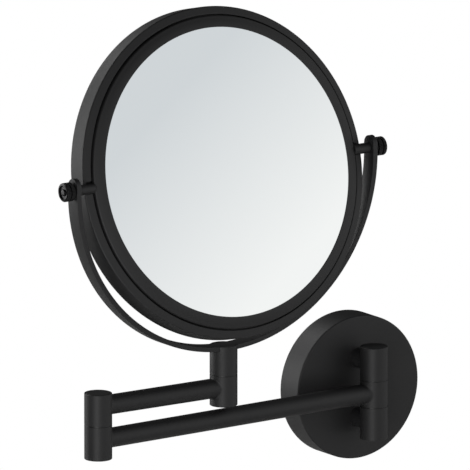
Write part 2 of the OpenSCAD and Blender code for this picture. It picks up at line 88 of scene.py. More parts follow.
BARREL_R = span("elbow_lower_knuckle")[0] / 2
TUBE_R = span("long_arm_tube")[2] / 2
STUB_R = span("hinge_stub_upper")[0] / 2
ROSETTE_R = high("rosette_cover")[0]
ROSETTE_FACE = low("rosette_cover")[1]
CAP_R = span("elbow_top_cap")[0] / 2
CAP_T = span("elbow_top_cap")[2]
WALL_PIN_R = span("wall_hinge_pin")[0] / 2
ELBOW_PIN_R = span("elbow_pin")[0] / 2
POST_TOP = high("swivel_post")[2]
BAND_W = span("yoke_band")[1]
BAND_OUT_R = span("yoke_band")[0] / 2
PIVOT_RISE = 2.2 * MM         # tilt axis above the middle of the head and of the half ring
RING = TILT - (0, 0, PIVOT_RISE)
BAND_IN_R = RING[2] - POST_TOP
BAND_TOP = high("yoke_band")[2] - RING[2]
DRUM_R = span("head_drum")[0] / 2
COVER_R = span("back_cover")[0] / 2
GLASS_R = span("mirror_glass")[0] / 2
STUD_R = span("pivot_stud_left")[2] / 2
KNOB_R = span("knob_left")[2] / 2
KNOB_L = span("knob_left")[0]

# ---- clearances, edges and small sizes -------------------------------------

PIN_GAP = 0.03 * MM           # round a pin in its bore, and round the bezel's flange
DISC_GAP = 0.12 * MM          # round an end disc in its pocket
SLOT_GAP = 0.06 * MM          # at each side of the band in the post's saddle slot
BUSH_WALL = 1.28 * MM         # room for a bush between a pin and its knuckle
EDGE = 0.5 * MM               # fillet on the outer ends of the barrels
SEAM_EDGE = 0.18 * MM         # fillet on the edges at a barrel's seams
POST_EDGE = 0.25 * MM         # fillet round the post's top
DISC_EDGE = 0.4 * MM
TUBE_WELD = 0.9 * MM          # fillet weld where an arm tube meets a barrel
STUB_WELD = 0.4 * MM
SUNK = 3 * MM                 # how deep a bar's end lies inside its barrel
STUB_BITE = 0.5 * MM          # how far a stub runs into the rosette
ROSETTE_WALL = 3.4 * MM
ROSETTE_FACE_T = 4 * MM
ROSETTE_EDGE = 1.0 * MM
SET_SCREW_R = 2.04 * MM
SET_SCREW_L = 6 * MM
BAND_EDGE = 0.4 * MM
SLOT_EDGE = 0.15 * MM
STUD_TIP_R = 1.6 * MM         # the thread at both ends of a stud
STUD_JOURNAL_R = 2.6 * MM     # the bearing in the band

# ---- the head, as depths along its axis from the tilt axis ----------------

HEAD_TILT = math.radians(14.4)
NORMAL = np.array([0, -math.cos(HEAD_TILT), math.sin(HEAD_TILT)])
HEAD_UP = np.array([0, math.sin(HEAD_TILT), math.cos(HEAD_TILT)])
DRUM_FACE_W = 5.8 * MM
DRUM_FACE_RISE = 1.5 * MM
DRUM_WALL = 2 * MM
DRUM_FRONT = -0.6 * MM
DRUM_BACK = -15.9 * MM
GROOVE_W = 0.8 * MM
BEZEL_W = 8.1 * MM
BEZEL_OUT_R = DRUM_R - DRUM_FACE_W - GROOVE_W
GLASS_VIEW_R = BEZEL_OUT_R - BEZEL_W
BEZEL_IN_R = GLASS_R + 0.3 * MM
BEZEL_FALL = 2.1 * MM
BEZEL_BULGE = 0.3 * MM
SHOULDER_ROUND = 1.4 * MM
SHOULDER_TURN = math.radians(66)
FLANGE_FRONT = DRUM_FRONT - DRUM_WALL
FLANGE_BACK = FLANGE_FRONT - 2 * MM
LIP_FRONT = 4.6 * MM
LIP_T = 0.5 * MM
GLASS_T = 4 * MM
COVER_T = 1 * MM
COVER_BEAD_IN = 9 * MM        # from the cover's rim to its pressed bead
COVER_BEAD_H = 0.35 * MM
NOTCH_R = STUD_R + 0.08 * MM  # the stud's notch in the drum's face
NOTCH_ANGLE = math.radians(3)

# ---- camera ---------------------------------------------------------------

VIEW_AZIMUTH = math.radians(-34.311)
VIEW_ELEVATION = math.radians(12.732)
VIEW_DISTANCE = 14.0
VIEW_LENS = 1563.33           # millimetres
SENSOR_W = 36                 # millimetres
NEAR_CLIP, FAR_CLIP = 1, 60
AIM_RIGHT = -72.33 * MM       # the point it looks at, from the wall plate's centre
AIM_UP = 100.27 * MM


def make_camera():
    """A long lens that looks at the object from its left and a little above."""
    a, e = VIEW_AZIMUTH, VIEW_ELEVATION
    right = Vector((math.cos(a), math.sin(a), 0))
    back = Vector((math.sin(a) * math.cos(e), -math.cos(a) * math.cos(e), math.sin(e)))
    up = back.cross(right)
    data = bpy.data.cameras.new("camera")
    data.sensor_width, data.lens = SENSOR_W, VIEW_LENS
    data.clip_start, data.clip_end = NEAR_CLIP, FAR_CLIP
    camera = bpy.data.objects.new("camera", data)
    camera.matrix_world = Matrix((right, up, back)).transposed().to_4x4()
    camera.location = right * AIM_RIGHT + up * AIM_UP + back * VIEW_DISTANCE
    bpy.context.scene.collection.objects.link(camera)
    bpy.context.scene.camera = camera


make_camera()

# ---- materials ------------------------------------------------------------


def linear(code):
    """An sRGB hex colour as linear RGBA."""
    s = np.array([int(code[i : i + 2], 16) for i in (1, 3, 5)]) / 255
    return (*np.where(s <= 0.04045, s / 12.92, ((s + 0.055) / 1.055) ** 2.4), 1.0)


def add(tree, kind, inputs=None, **settings):
    """Adds a node with its settings; an input is a value, or the socket that feeds it."""
    node = tree.nodes.new(kind)
    for key, value in settings.items():
        setattr(node, key, value)
    for key, value in (inputs or {}).items():
        if isinstance(value, bpy.types.NodeSocket):
            tree.links.new(value, node.inputs[key])
        else:
            node.inputs[key].default_value = value
    return node


def new_material(name):
    """An empty material: its node tree and its output node."""
    material = bpy.data.materials.new(name)
    material.use_nodes = True
    material.node_tree.nodes.clear()
    return material, material.node_tree, add(material.node_tree, "ShaderNodeOutputMaterial")


def powder_coat():
    """Polyester powder sprayed on steel and baked: matte black, with the fine
    orange-peel grain of melted powder and a faint, slow change of tone."""
    material, tree, out = new_material("powder_coat_matte_black")
    place = add(tree, "ShaderNodeTexCoord").outputs["Object"]
    # Real powder grain is 0.1 to 0.2 mm across; it is drawn at 0.7 mm so that it shows.
    grain = add(tree, "ShaderNodeTexNoise",
                {"Vector": place, "Scale": 1 / (0.7 * MM), "Detail": 3.0, "Roughness": 0.6})
    drift = add(tree, "ShaderNodeTexNoise",
                {"Vector": place, "Scale": 1 / (30 * MM), "Detail": 2.0, "Roughness": 0.5})
    tone = add(tree, "ShaderNodeMix",
               {"Factor": drift.outputs["Fac"], "A": linear("#1b1b1c"), "B": linear("#222223")},
               data_type="RGBA")
    fleck = add(tree, "ShaderNodeMix",
                {"Factor": grain.outputs["Fac"], "A": linear("#161617"), "B": tone.outputs[2]},
                data_type="RGBA")
    rough = add(tree, "ShaderNodeMapRange",
                {"Value": grain.outputs["Fac"], "From Min": 0.3, "From Max": 0.7,
                 "To Min": 0.5, "To Max": 0.62})
    bump = add(tree, "ShaderNodeBump",
               {"Height": grain.outputs["Fac"], "Strength": 0.25, "Distance": 0.05 * MM})
    shader = add(tree, "ShaderNodeBsdfPrincipled",
                 {"Base Color": fleck.outputs[2], "Roughness": rough.outputs[0],
                  "Normal": bump.outputs[0], "IOR": 1.5})
    tree.links.new(shader.outputs[0], out.inputs["Surface"])
    return material


def black_oxide():
    """Turned steel, chemically blackened and oiled: near black, satin, with
    the fine rings that the lathe tool leaves."""
    material, tree, out = new_material("black_oxide_satin")
    place = add(tree, "ShaderNodeTexCoord").outputs["Object"]
    # Tool rings are 0.1 mm apart; they are drawn 0.4 mm apart so that they show.
    rings = add(tree, "ShaderNodeTexWave",
                {"Vector": place, "Scale": 1 / (0.4 * MM) / TAU, "Distortion": 0.4,
                 "Detail": 1.0},
                bands_direction="X")
    smudge = add(tree, "ShaderNodeTexNoise",
                 {"Vector": place, "Scale": 1 / (4 * MM), "Detail": 3.0})
    rough = add(tree, "ShaderNodeMapRange",
                {"Value": smudge.outputs["Fac"], "From Min": 0.3, "From Max": 0.7,
                 "To Min": 0.24, "To Max": 0.38})
    bump = add(tree, "ShaderNodeBump",
               {"Height": rings.outputs["Fac"], "Strength": 0.06, "Distance": 0.02 * MM})
    shader = add(tree, "ShaderNodeBsdfPrincipled",
                 {"Base Color": linear("#0c0c0d"), "Roughness": rough.outputs[0],
                  "Normal": bump.outputs[0], "IOR": 1.33})
    tree.links.new(shader.outputs[0], out.inputs["Surface"])
    return material


def silvered_glass():
    """Float glass silvered behind: a clean mirror with the faint green-blue of the glass."""
    material, tree, out = new_material("silvered_float_glass")
    shader = add(tree, "ShaderNodeBsdfPrincipled",
                 {"Base Color": linear("#f3f7f7"), "Metallic": 1.0, "Roughness": 0.012})
    tree.links.new(shader.outputs[0], out.inputs["Surface"])
    return material


def zinc_steel():
    """Bright zinc plating on steel: pale grey, with the cloudy spangle of the bath."""
    material, tree, out = new_material("zinc_plated_steel")
    place = add(tree, "ShaderNodeTexCoord").outputs["Object"]
    cloud = add(tree, "ShaderNodeTexNoise",
                {"Vector": place, "Scale": 1 / (3 * MM), "Detail": 4.0})
    tone = add(tree, "ShaderNodeMix",
               {"Factor": cloud.outputs["Fac"], "A": linear("#a9aba9"), "B": linear("#c9cac6")},
               data_type="RGBA")
    rough = add(tree, "ShaderNodeMapRange",
                {"Value": cloud.outputs["Fac"], "To Min": 0.26, "To Max": 0.42})
    shader = add(tree, "ShaderNodeBsdfPrincipled",
                 {"Base Color": tone.outputs[2], "Metallic": 1.0,
                  "Roughness": rough.outputs[0]})
    tree.links.new(shader.outputs[0], out.inputs["Surface"])
    return material


def nylon():
    """Black nylon 6, injection moulded: a soft satin with a slight mould texture."""
    material, tree, out = new_material("nylon_black_moulded")
    place = add(tree, "ShaderNodeTexCoord").outputs["Object"]
    texture = add(tree, "ShaderNodeTexNoise", {"Vector": place, "Scale": 1 / (0.5 * MM)})
    bump = add(tree, "ShaderNodeBump",
               {"Height": texture.outputs["Fac"], "Strength": 0.1, "Distance": 0.02 * MM})
    rough = add(tree, "ShaderNodeMapRange",
                {"Value": texture.outputs["Fac"], "To Min": 0.38, "To Max": 0.5})
    shader = add(tree, "ShaderNodeBsdfPrincipled",
                 {"Base Color": linear("#141414"), "Roughness": rough.outputs[0],
                  "Normal": bump.outputs[0], "IOR": 1.53})
    tree.links.new(shader.outputs[0], out.inputs["Surface"])
    return material


def foam():
    """Closed-cell EVA foam, cut from sheet: dull charcoal with open cells on the cut."""
    material, tree, out = new_material("eva_foam_charcoal")
    place = add(tree, "ShaderNodeTexCoord").outputs["Object"]
    cells = add(tree, "ShaderNodeTexVoronoi", {"Vector": place, "Scale": 1 / (0.6 * MM)})
    tone = add(tree, "ShaderNodeMix",
               {"Factor": cells.outputs["Distance"], "A": linear("#202021"),
                "B": linear("#38383a")},
               data_type="RGBA")
    bump = add(tree, "ShaderNodeBump",
               {"Height": cells.outputs["Distance"], "Strength": 0.5, "Distance": 0.1 * MM})
    shader = add(tree, "ShaderNodeBsdfPrincipled",
                 {"Base Color": tone.outputs[2], "Roughness": 0.9,
                  "Normal": bump.outputs[0]})
    tree.links.new(shader.outputs[0], out.inputs["Surface"])
    return material


FINISH = {
    "black_coat": powder_coat(),
    "black_oxide": black_oxide(),
    "silvered_glass": silvered_glass(),
    "zinc_steel": zinc_steel(),
    "black_nylon": nylon(),
    "foam": foam(),
}

# ---- surfaces ---------------------------------------------------------------

SHARP = 38                    # degrees: an edge turned by more than this stays sharp


def axes(origin, along, side):
    """A place for a lathe: its origin, and side, cross and along as the rows of a matrix."""
    along, side = (np.array(v, float) / np.linalg.norm(v) for v in (along, side))
    return np.array(origin, float), np.array([side, np.cross(along, side), along])


def put(points, place):
    """Local points (side, cross, along) as world points."""
    origin, rows = place
    return origin + points @ rows


def quads(rows, columns, wrap_rows=False):
    """Faces of a grid whose columns close on themselves: each face joins a point, its
    neighbour in the row, and the two below them."""
    i = np.arange(rows if wrap_rows else rows - 1)[:, None]
    j = np.arange(columns)[None, :]
    k, m = (i + 1) % rows, (j + 1) % columns
    corners = [i * columns + j, i * columns + m, k * columns + m, k * columns + j]
    return np.stack(corners, -1).reshape(-1, 4)


def fan(pole, ring):
    """Triangles from one point to each step of a closed ring of points."""
    ring = np.asarray(ring)
    return np.stack([np.full(len(ring), pole), ring, np.roll(ring, -1)], -1)


def outward(points, faces):
    """The faces turned so that the volume inside them, the sum of p0 . (p1 x p2) / 6, is
    positive."""
    volume = 0.0
    for block in faces:
        p = points[block]
        for k in range(1, block.shape[1] - 1):
            volume += np.einsum("ij,ij->", p[:, 0], np.cross(p[:, k], p[:, k + 1]))
    return faces if volume > 0 else [block[:, ::-1] for block in faces]


def shade_smooth(mesh, sharp):
    """Shades a mesh smooth but for edges sharper than an angle in degrees."""
    mesh.polygons.foreach_set("use_smooth", np.ones(len(mesh.polygons), bool))
    mesh.set_sharp_from_angle(angle=math.radians(sharp))


def new_piece(name, points, faces, slot, body, stands_for=(), sharp=SHARP):
    """Makes an object of closed faces, in a finish, on the body that carries it."""
    mesh = bpy.data.meshes.new(name)
    faces = outward(points, faces)
    mesh.from_pydata(points.tolist(), [], [f for block in faces for f in block.tolist()])
    mesh.validate()
    shade_smooth(mesh, sharp)
    piece = bpy.data.objects.new(name, mesh)
    bpy.context.scene.collection.objects.link(piece)
    mesh.materials.append(FINISH[slot])
    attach(piece, body)
    if stands_for:
        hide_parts(*stands_for)
    return piece


def rounded(corners, closed, steps=5):
    """A profile with round corners. corners are (radius, depth, fillet). At a corner with
    a fillet the line leaves each straight at fillet / tan(half the corner's angle) and
    follows a circular arc; one more point on each straight keeps the flats flat."""
    c = np.array(corners, float)
    n = len(c)
    out = []
    for i in range(n):
        here, fillet = c[i, :2], c[i, 2]
        if not closed and i in (0, n - 1) or fillet == 0:
            out.append(here[None])
            continue
        back, ahead = c[i - 1, :2] - here, c[(i + 1) % n, :2] - here
        lb, la = np.linalg.norm(back), np.linalg.norm(ahead)
        back, ahead = back / lb, ahead / la
        half = math.acos(np.clip(back @ ahead, -1, 1)) / 2
        reach = min(fillet / math.tan(half), 0.45 * lb, 0.45 * la)
        radius = reach * math.tan(half)
        inward = (back + ahead) / np.linalg.norm(back + ahead)
        middle = here + inward * radius / math.sin(half)
        turn = np.linspace(0, 1, steps + 1)[:, None]
        start, end = here + back * reach - middle, here + ahead * reach - middle
        sweep = math.pi - 2 * half
        arc = (start * np.sin((1 - turn) * sweep) + end * np.sin(turn * sweep)) / math.sin(sweep)
        hold = min(0.3 * MM, 0.2 * lb, 0.2 * la)
        out += [(here + back * (reach + hold))[None], middle + arc,
                (here + ahead * (reach + hold))[None]]
    return np.vstack(out)


def lathe(profile, place, angles=None, segments=96):
    """A profile of (radius, depth) turned about the place's axis: side = r cos t,
    cross = r sin t, along = depth. A profile that starts and ends on the axis closes in
    two poles; any other closes on itself."""
    t = np.linspace(0, TAU, segments, endpoint=False) if angles is None else angles
    solid = profile[0, 0] == 0
    rings = profile[1:-1] if solid else profile
    r, h = rings[:, 0][:, None], rings[:, 1][:, None]
    grid = np.stack([r * np.cos(t), r * np.sin(t), h + 0 * t], -1).reshape(-1, 3)
    faces = [quads(len(rings), len(t), wrap_rows=not solid)]
    if solid:
        n = len(grid)
        poles = np.array([[0, 0, profile[0, 1]], [0, 0, profile[-1, 1]]])
        grid = np.vstack([grid, poles])
        faces += [fan(n, np.arange(len(t)))[:, ::-1], fan(n + 1, np.arange(n - len(t), n))]
    return put(grid, place), faces


def coped_bar(radius, length, place, cope, weld, far_cope=True, segments=64):
    """A round bar along the place's axis between two upright barrels of radius cope.
    Across the bar (side = r cos t, cross = r sin t) the barrel's surface lies at
    sqrt(cope^2 - side^2); near it the bar's radius grows by a quarter circle of the
    weld's size, r + weld - sqrt(weld^2 - (weld - d)^2) at a distance d."""
    t = np.linspace(0, TAU, segments, endpoint=False)
    d = weld * (1 - np.cos(np.linspace(0, math.pi / 2, 7)))
    d = np.concatenate([[0], d[1:], [weld * 1.6]])
    r = radius + weld - np.sqrt(np.maximum(weld**2 - np.maximum(weld - d, 0) ** 2, 0))
    r[-2:] = radius
    near = np.sqrt(cope**2 - (r[:, None] * np.cos(t)) ** 2) + d[:, None]
    sunk = np.full((1, segments), cope - SUNK)
    if far_cope:
        radii = np.concatenate([[radius], r, r[::-1], [radius]])[:, None]
        x = np.vstack([sunk, near, (length - near)[::-1], length - sunk])
    else:
        radii = np.concatenate([[radius], r, [radius, radius]])[:, None]
        x = np.vstack([sunk, near, np.full((1, segments), length - 1 * MM),
                       np.full((1, segments), length)])
    grid = np.stack([radii * np.cos(t), radii * np.sin(t), x], -1).reshape(-1, 3)
    n, m = len(grid), segments
    grid = np.vstack([grid, [[0, 0, x[0, 0]], [0, 0, x[-1, 0]]]])
    faces = [quads(len(radii), m), fan(n, np.arange(m))[:, ::-1],
             fan(n + 1, np.arange(n - m, n))]
    return put(grid, place), faces


def carve(piece, cutter_points, cutter_faces, bevel=0.0):
    """Cuts a closed shape out of a piece, and rounds the new edges."""
    mesh = bpy.data.meshes.new("cutter")
    cutter_faces = outward(cutter_points, cutter_faces)
    flat = [face for block in cutter_faces for face in block.tolist()]
    mesh.from_pydata(cutter_points.tolist(), [], flat)
    cutter = bpy.data.objects.new("cutter", mesh)
    bpy.context.scene.collection.objects.link(cutter)
    cut = piece.modifiers.new("cut", "BOOLEAN")
    cut.operation, cut.solver, cut.object = "DIFFERENCE", "EXACT", cutter
    if bevel:
        edge = piece.modifiers.new("edge", "BEVEL")
        edge.width, edge.segments, edge.limit_method = bevel, 3, "ANGLE"
        edge.angle_limit = math.radians(50)
    graph = bpy.context.evaluated_depsgraph_get()
    baked = bpy.data.meshes.new_from_object(piece.evaluated_get(graph))
    shade_smooth(baked, SHARP)
    piece.modifiers.clear()
    piece.data = baked
    bpy.data.objects.remove(cutter)


UP = (0, 0, 1)
RIGHT = (1, 0, 0)

# ---- wall rosette and wall hinge ------------------------------------------


def rosette_cover():
    """The deep-drawn cover: a drum with a rounded front edge and a hollow back."""
    depth, inner, back_edge = -ROSETTE_FACE, ROSETTE_R - ROSETTE_WALL, 0.3 * MM
    profile = rounded([
        (0, depth, 0), (ROSETTE_R, depth, ROSETTE_EDGE), (ROSETTE_R, 0, back_edge),
        (inner, 0, back_edge), (inner, depth - ROSETTE_FACE_T, ROSETTE_EDGE),
        (0, depth - ROSETTE_FACE_T, 0)], closed=False)
    shape = lathe(profile, axes((0, 0, 0), (0, -1, 0), RIGHT), segments=160)
    piece = new_piece("rosette_cover_shell", *shape, "black_coat", "wall", ["rosette_cover"])
    hole = np.array([[0, 0], [SET_SCREW_R, 0], [SET_SCREW_R, SET_SCREW_L], [0, SET_SCREW_L]])
    below = axes((0, ROSETTE_FACE / 2, -ROSETTE_R - 1 * MM), UP, RIGHT)
    carve(piece, *lathe(hole, below, segments=32))


def upright(centre, z=0):
    """A place whose axis is the vertical one through a hinge."""
    return axes((centre[0], centre[1], z), UP, RIGHT)


def sleeve(name, centre, z0, z1, bore, body, stands_for, ends=(SEAM_EDGE, EDGE), pocket=True):
    """A knuckle: a sleeve with round edges, and a pocket for its end disc at z1."""
    corners = [(bore, z0, 0), (BARREL_R, z0, ends[0]), (BARREL_R, z1, ends[1])]
    if pocket:
        r, deep = CAP_R + DISC_GAP, z1 - math.copysign(CAP_T, z1 - z0)
        corners += [(r, z1, 0.1 * MM), (r, deep, 0), (bore, deep, 0)]
    else:
        corners += [(bore, z1, 0)]
    shape = lathe(rounded(corners, closed=True), upright(centre))
    new_piece(name, *shape, "black_coat", body, [stands_for])


def end_disc(seat_z, face_z, centre):
    """Points and faces of a barrel's end disc, with a rounded rim."""
    profile = rounded([
        (0, seat_z, 0), (CAP_R, seat_z, 0), (CAP_R, face_z, DISC_EDGE), (0, face_z, 0)],
        closed=False)
    return lathe(profile, upright(centre))


def joined(parts):
    """Several closed shapes as one list of points and faces."""
    points, faces, n = [], [], 0
    for p, blocks in parts:
        faces += [b + n for b in outward(p, blocks)]
        points.append(p)
        n += len(p)
    return np.vstack(points), faces


def wall_hinge():
    """The wall barrel: fixed knuckles above and below, stubs and end discs."""
    seam, half = low("wall_knuckle_upper")[2], high("wall_knuckle_upper")[2]
    bore = WALL_PIN_R + PIN_GAP
    sleeve("wall_knuckle_top", WALL_AXIS, seam, half, bore, "wall", "wall_knuckle_upper")
    sleeve("wall_knuckle_bottom", WALL_AXIS, -seam, -half, bore, "wall", "wall_knuckle_lower")
    discs = joined([end_disc(half - CAP_T, half, WALL_AXIS),
                    end_disc(CAP_T - half, -half, WALL_AXIS)])
    new_piece("wall_barrel_discs", *discs, "black_coat", "wall", ["wall_hinge_caps"])
    length = ROSETTE_FACE - WALL_AXIS[1] + STUB_BITE
    for node in ("hinge_stub_upper", "hinge_stub_lower"):
        z = (low(node)[2] + high(node)[2]) / 2
        place = axes((0, WALL_AXIS[1], z), (0, 1, 0), RIGHT)
        shape = coped_bar(STUB_R, length, place, BARREL_R, STUB_WELD, far_cope=False)
        new_piece(node + "_turned", *shape, "black_coat", "wall", [node])


# ---- arms -------------------------------------------------------------------


def arm_bar(name, start, end, z, body, stands_for):
    """An arm's tube at a height z, between the barrels of two hinges."""
    flat = end - start
    flat[2] = 0
    place = axes((start[0], start[1], z), flat, np.cross(flat, UP))
    shape = coped_bar(TUBE_R, np.linalg.norm(flat), place, BARREL_R, TUBE_WELD)
    new_piece(name, *shape, "black_coat", body, [stands_for])


def arms():
    """The two tubes with their welded knuckles, and the elbow's and post's end discs."""
    pin, bush = ELBOW_PIN_R + PIN_GAP, ELBOW_PIN_R + BUSH_WALL
    root = high("long_arm_root_knuckle")[2]
    sleeve("long_arm_root", WALL_AXIS, -root, root, bush, "long_arm", "long_arm_root_knuckle",
           ends=(SEAM_EDGE, SEAM_EDGE), pocket=False)
    bottom, top = low("elbow_lower_knuckle")[2], high("elbow_lower_knuckle")[2]
    sleeve("elbow_lower_barrel", ELBOW, top, bottom, pin, "long_arm", "elbow_lower_knuckle")
    new_piece("elbow_disc_bottom", *end_disc(bottom + CAP_T, bottom, ELBOW), "black_coat",
              "long_arm", ["elbow_bottom_cap"])
    arm_bar("long_arm_bar", WALL_AXIS, ELBOW, 0, "long_arm", "long_arm_tube")

    bottom, top = low("elbow_upper_knuckle")[2], high("elbow_upper_knuckle")[2]
    sleeve("elbow_upper_barrel", ELBOW, bottom, top, bush, "short_arm", "elbow_upper_knuckle")
    new_piece("elbow_disc_top", *end_disc(top - CAP_T, top, ELBOW), "black_coat",
              "short_arm", ["elbow_top_cap"])
    bottom, top = low("post_lower_knuckle")[2], high("post_lower_knuckle")[2]
    sleeve("post_lower_barrel", POST, top, bottom, bush, "short_arm", "post_lower_knuckle")
    new_piece("post_disc_bottom", *end_disc(bottom + CAP_T, bottom, POST), "black_coat",
              "short_arm", ["post_bottom_cap"])
    rise = (low("short_arm_tube")[2] + high("short_arm_tube")[2]) / 2
    arm_bar("short_arm_bar", ELBOW, POST, rise, "short_arm", "short_arm_tube")


# ---- yoke -------------------------------------------------------------------


def band_path(s, half_arc, radius):
    """The band's middle line: up a straight tip, round the lower half of a circle of that
    radius, and up the other tip. s runs from -half_arc - tip to half_arc + tip; returns
    places and outward directions in the x, z plane about the circle's centre."""
    over = np.sign(s) * np.maximum(np.abs(s) - half_arc, 0)
    angle = np.clip(s, -half_arc, half_arc) / radius
    out = np.stack([np.sin(angle), -np.cos(angle)], -1)
    return np.stack([out[:, 0] * radius, out[:, 1] * radius + np.abs(over)], -1), out


def yoke_band():
    """A flat bar bent to a half ring, with round ends. Its outline in the flat is a
    stadium, half as wide as h(s) = sqrt(w^2 - (s - c)^2) in its end circles; at each
    level t through the thickness the outline is inset by the edge's rounding."""
    thick = (BAND_OUT_R - BAND_IN_R) / 2
    radius = BAND_IN_R + thick
    half_arc = radius * math.pi / 2
    end = half_arc + BAND_TOP
    w = BAND_W / 2
    sweep = np.linspace(0, math.pi / 2, 16)
    u = np.linspace(0, math.pi / 2, 6)
    near_face, far_face = BAND_EDGE * (1 - np.sin(u[::-1])), BAND_EDGE * (1 - np.sin(u))
    levels = np.concatenate([-thick + near_face, thick - far_face])
    inset = np.concatenate([BAND_EDGE * (1 - np.cos(u[::-1])), BAND_EDGE * (1 - np.cos(u))])

    def outline(gap):
        """Half the stadium: s from one end to the other, and its half width there."""
        r = w - gap
        c = end - w
        straight = np.linspace(-c, c, 241)[1:-1]
        s = np.concatenate([-c - r * np.cos(sweep), straight, c + r * np.cos(sweep[::-1])])
        return s, np.sqrt(np.maximum(r**2 - np.maximum(np.abs(s) - c, 0) ** 2, 0))

    rings = []
    for t, gap in zip(levels, inset):
        s, h = outline(gap)
        s = np.concatenate([s, s[-2:0:-1]])
        y = np.concatenate([h, -h[-2:0:-1]])
        xz, out = band_path(s, half_arc, radius)
        rings.append(np.stack([xz[:, 0] + out[:, 0] * t, y, xz[:, 1] + out[:, 1] * t], -1))
    n, m = len(outline(0)[0]), len(rings[0])
    points = np.vstack(rings) + RING
    faces = [quads(len(rings), m)]
    up = np.arange(1, n - 1)
    for base, flip in ((0, False), ((len(rings) - 1) * m, True)):
        a, b = up[:-1] + base, up[1:] + base
        ladder = np.stack([a, (m - up[:-1]) % m + base, (m - up[1:]) % m + base, b], -1)
        tips = np.array([[base, m - 1 + base, 1 + base], [n - 1 + base, n - 2 + base, n + base]])
        faces += [ladder[:, ::-1], tips[:, ::-1]] if flip else [ladder, tips]
    new_piece("yoke_flat_bar", points, faces, "black_coat", "yoke", ["yoke_band"])


def swivel_post():
    """The turning half of the post, with a saddle slot for the band across its top."""
    z0 = low("swivel_post")[2]
    profile = rounded([
        (0, z0, 0), (BARREL_R, z0, SEAM_EDGE), (BARREL_R, POST_TOP, POST_EDGE),
        (0, POST_TOP, 0)], closed=False)
    piece = new_piece("swivel_post_turned", *lathe(profile, upright(POST)), "black_coat", "yoke",
                      ["swivel_post"])
    half = BAND_W / 2 + SLOT_GAP
    slot = np.array([[0, -half], [BAND_OUT_R, -half], [BAND_OUT_R, half], [0, half]])
    carve(piece, *lathe(slot, axes(RING, (0, 1, 0), RIGHT), segments=360), bevel=SLOT_EDGE)


# ---- mirror head ------------------------------------------------------------

HEAD = axes(TILT - PIVOT_RISE * HEAD_UP, NORMAL, RIGHT)


def dense_at_studs():
    """Angles round the head, close together where the two studs notch the drum."""
    near = np.linspace(-NOTCH_ANGLE, NOTCH_ANGLE, 73)
    far = np.linspace(NOTCH_ANGLE, math.pi - NOTCH_ANGLE, 180)[1:-1]
    return np.concatenate([near, far, near + math.pi, far + math.pi])


def head_drum():
    """The drum ring. Its front face is a cone that rises by a straight line from the rim
    to the groove, with a round notch of radius n for each stud: at a height v from the
    tilt axis, where |v| < n, the face falls to -sqrt(n^2 - v^2)."""
    r, wall, inner, rim = DRUM_R, DRUM_WALL, DRUM_R - DRUM_FACE_W, 1 * MM
    slope = DRUM_FACE_RISE / DRUM_FACE_W
    profile = rounded([
        (r, DRUM_BACK, 0.35 * MM), (r, DRUM_FRONT - slope * rim, rim),
        (inner, DRUM_FRONT + DRUM_FACE_RISE, 0.6 * MM), (inner, DRUM_FRONT - wall, 0),
        (r - wall, DRUM_FRONT - wall, 0), (r - wall, DRUM_BACK, 0.2 * MM)], closed=True)
    points, faces = lathe(profile, (np.zeros(3), np.eye(3)), angles=dense_at_studs())
    v, z = points[:, 1] - PIVOT_RISE, points[:, 2]
    face = DRUM_FRONT + slope * (r - np.hypot(points[:, 0], points[:, 1]))
    cut = np.where(np.abs(v) < NOTCH_R, -np.sqrt(np.maximum(NOTCH_R**2 - v**2, 0)), face)
    front = z > DRUM_FRONT - wall * 1.01
    points[:, 2] = np.where(front, np.minimum(z, cut - np.maximum(face - z, 0)), z)
    new_piece("head_drum_ring", put(points, HEAD), faces, "black_coat", "head", ["head_drum"])


def bezel_ring():
    """The raised ring round the glass. Its outer shoulder is a circular arc of
    SHOULDER_ROUND; from there a shallow parabola rises to the lip: the straight line
    between them plus 4 BULGE t (1 - t)."""
    a = np.linspace(0, SHOULDER_TURN, 9)[:, None]
    t = np.linspace(0, 1, 16)[1:, None]
    r, z = BEZEL_OUT_R - SHOULDER_ROUND, LIP_FRONT - BEZEL_FALL
    arc = np.hstack([r + SHOULDER_ROUND * np.cos(a), z - SHOULDER_ROUND * (1 - np.sin(a))])
    bulge = 4 * BEZEL_BULGE * t * (1 - t)
    face = np.hstack([r + (GLASS_VIEW_R - r) * t, z + BEZEL_FALL * t + bulge])
    flange = DRUM_R - DRUM_WALL - PIN_GAP
    back = rounded([
        (GLASS_VIEW_R, LIP_FRONT - LIP_T, 0.2 * MM), (BEZEL_IN_R, LIP_FRONT - LIP_T, 0),
        (BEZEL_IN_R, FLANGE_BACK, 0), (flange, FLANGE_BACK, 0), (flange, FLANGE_FRONT, 0),
        (BEZEL_OUT_R, FLANGE_FRONT, 0)], closed=False)
    shape = lathe(np.vstack([back, arc, face]), HEAD, segments=360)
    new_piece("bezel_ring_turned", *shape, "black_coat", "head", ["bezel_ring"])


def glass():
    """The mirror: a flat disc with a ground edge."""
    front, back, ground = LIP_FRONT - LIP_T, LIP_FRONT - LIP_T - GLASS_T, 0.4 * MM
    profile = rounded([
        (0, back, 0), (GLASS_R, back, ground), (GLASS_R, front, ground), (0, front, 0)],
        closed=False)
    shape = lathe(profile, HEAD, segments=240)
    new_piece("mirror_disc", *shape, "silvered_glass", "head", ["mirror_glass"])


